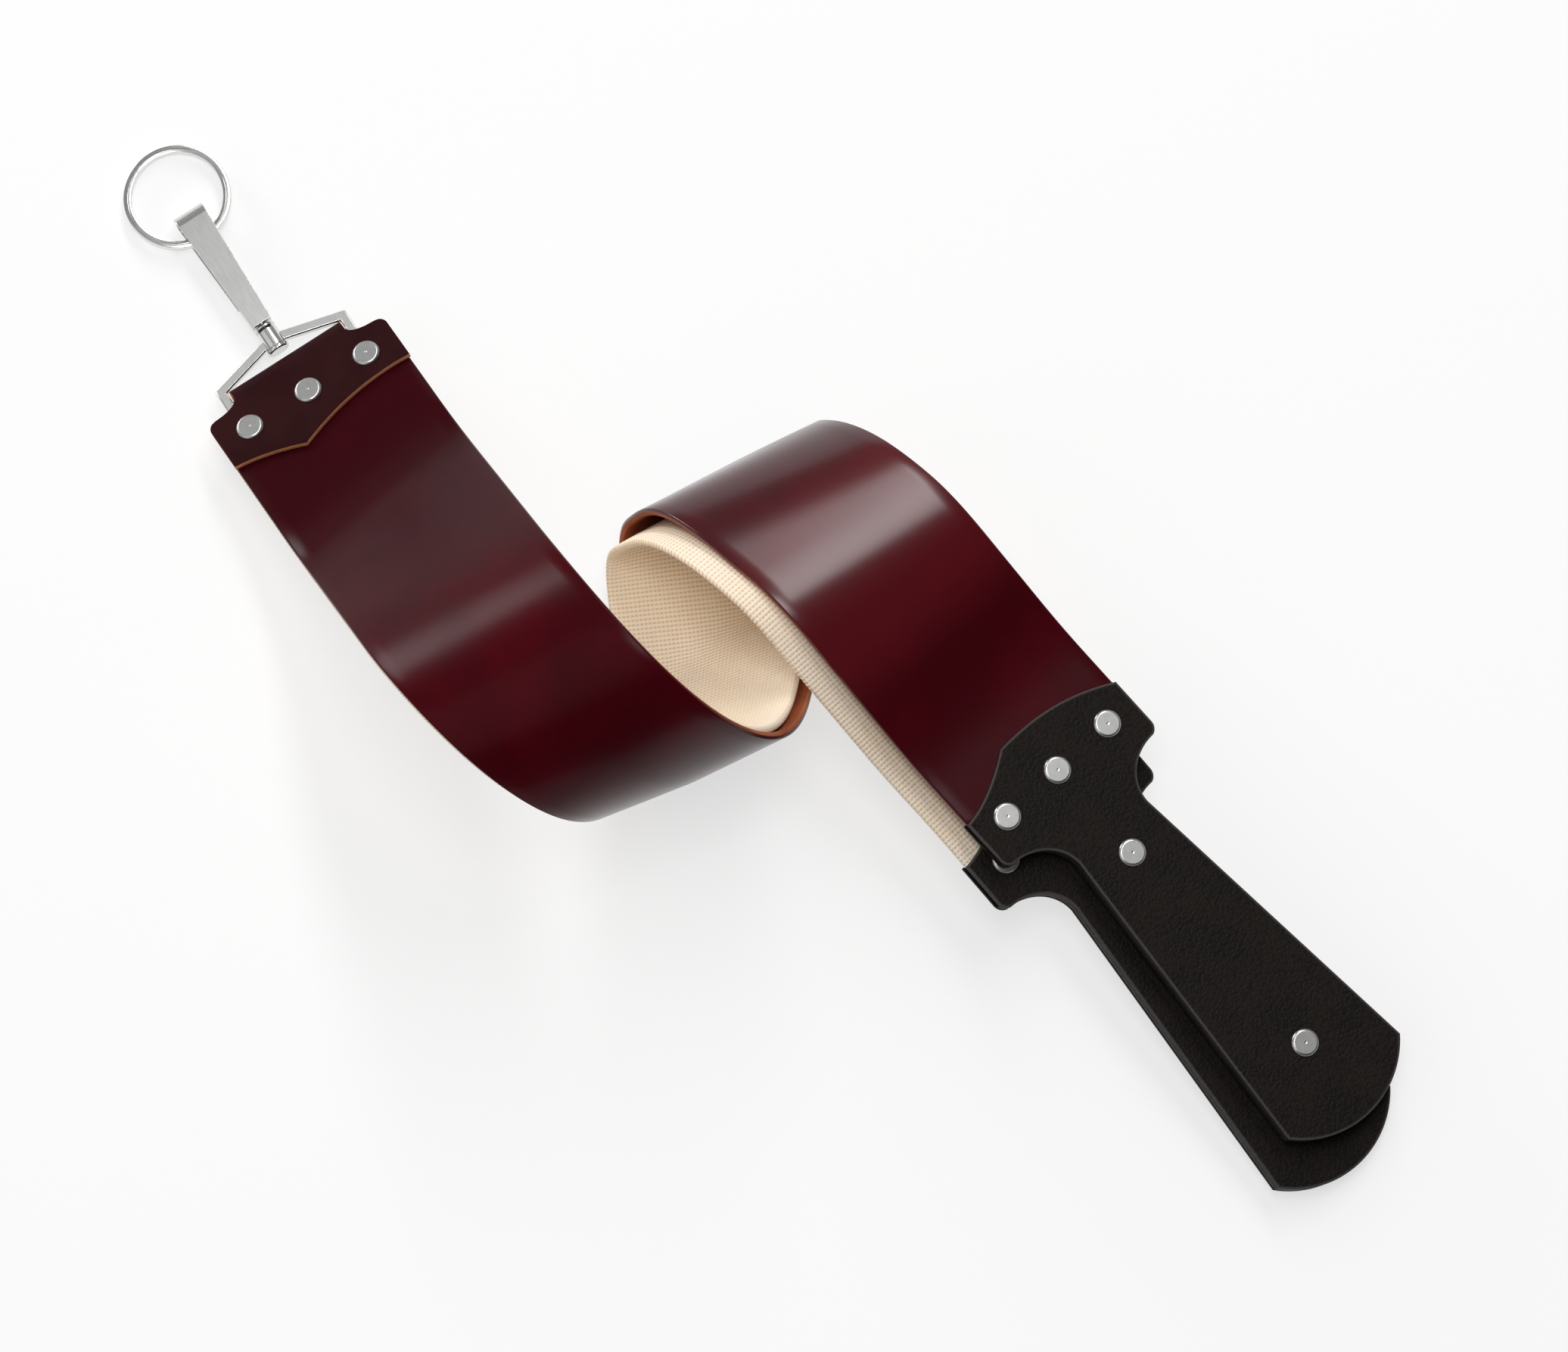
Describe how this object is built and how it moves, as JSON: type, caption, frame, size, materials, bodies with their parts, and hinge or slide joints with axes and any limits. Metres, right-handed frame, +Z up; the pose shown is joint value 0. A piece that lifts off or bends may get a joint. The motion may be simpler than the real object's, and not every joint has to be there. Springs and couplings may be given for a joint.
{
  "type": "hanging strop",
  "caption": "Hanging strop lying coiled: a leather strap and a linen strap with riveted handles, joined by a folded leather tab with a swivel and hanging ring.",
  "frame": {"origin": "centre of the base of its box, on the table it lies on", "axes": "+X from the hanging ring towards the handles along the strap where it leaves the tab, +Z up from the table"},
  "size_m": [0.465, 0.201, 0.115],
  "materials": {
    "strap_leather": "polished burgundy",
    "tab_leather": "dark burgundy",
    "linen": "woven cream",
    "handle_leather": "near-black, fine grain",
    "nickel": "satin nickel"
  },
  "bodies": {
    "straps": {"end_tab": "tab_leather", "leather_handle_back": "handle_leather", "leather_handle_core": "handle_leather", "leather_handle_front": "handle_leather", "leather_rivet_1_cap": "nickel", "leather_rivet_1_post": "nickel", "leather_rivet_2_cap": "nickel", "leather_rivet_2_post": "nickel", "leather_rivet_3_cap": "nickel", "leather_rivet_3_post": "nickel", "leather_rivet_4_cap": "nickel", "leather_rivet_4_post": "nickel", "leather_rivet_5_cap": "nickel", "leather_rivet_5_post": "nickel", "leather_strop": "strap_leather", "linen_handle_back": "handle_leather", "linen_handle_core": "handle_leather", "linen_handle_front": "handle_leather", "linen_rivet_1_cap": "nickel", "linen_rivet_1_post": "nickel", "linen_rivet_2_cap": "nickel", "linen_rivet_2_post": "nickel", "linen_rivet_3_cap": "nickel", "linen_rivet_3_post": "nickel", "linen_rivet_4_cap": "nickel", "linen_rivet_4_post": "nickel", "linen_rivet_5_cap": "nickel", "linen_rivet_5_post": "nickel", "linen_strop": "linen", "tab_rivet_1_cap": "nickel", "tab_rivet_1_post": "nickel", "tab_rivet_2_cap": "nickel", "tab_rivet_2_post": "nickel", "tab_rivet_3_cap": "nickel", "tab_rivet_3_post": "nickel"},
    "dee": {"dee_loop": "nickel"},
    "swivel": {"swivel_collar": "nickel", "swivel_eye": "nickel", "swivel_pin": "nickel"},
    "ring": {"hang_ring": "nickel"}
  },
  "joints": [
    {"name": "dee_hinge", "type": "hinge", "parent": "straps", "child": "dee", "pos_m": [-0.1493, -0.06758, 0.00989], "axis": [0, 1, 0], "range_deg": [-90, 60]},
    {"name": "swivel_spin", "type": "hinge", "parent": "dee", "child": "swivel", "pos_m": [-0.1493, -0.06758, 0.00989], "axis": [-0.9969, 0, -0.0785], "continuous": true},
    {"name": "ring_swing", "type": "hinge", "parent": "swivel", "child": "ring", "pos_m": [-0.20055, -0.06758, 0.00586], "axis": [0, 1, 0], "range_deg": [-100, 100]}
  ]
}
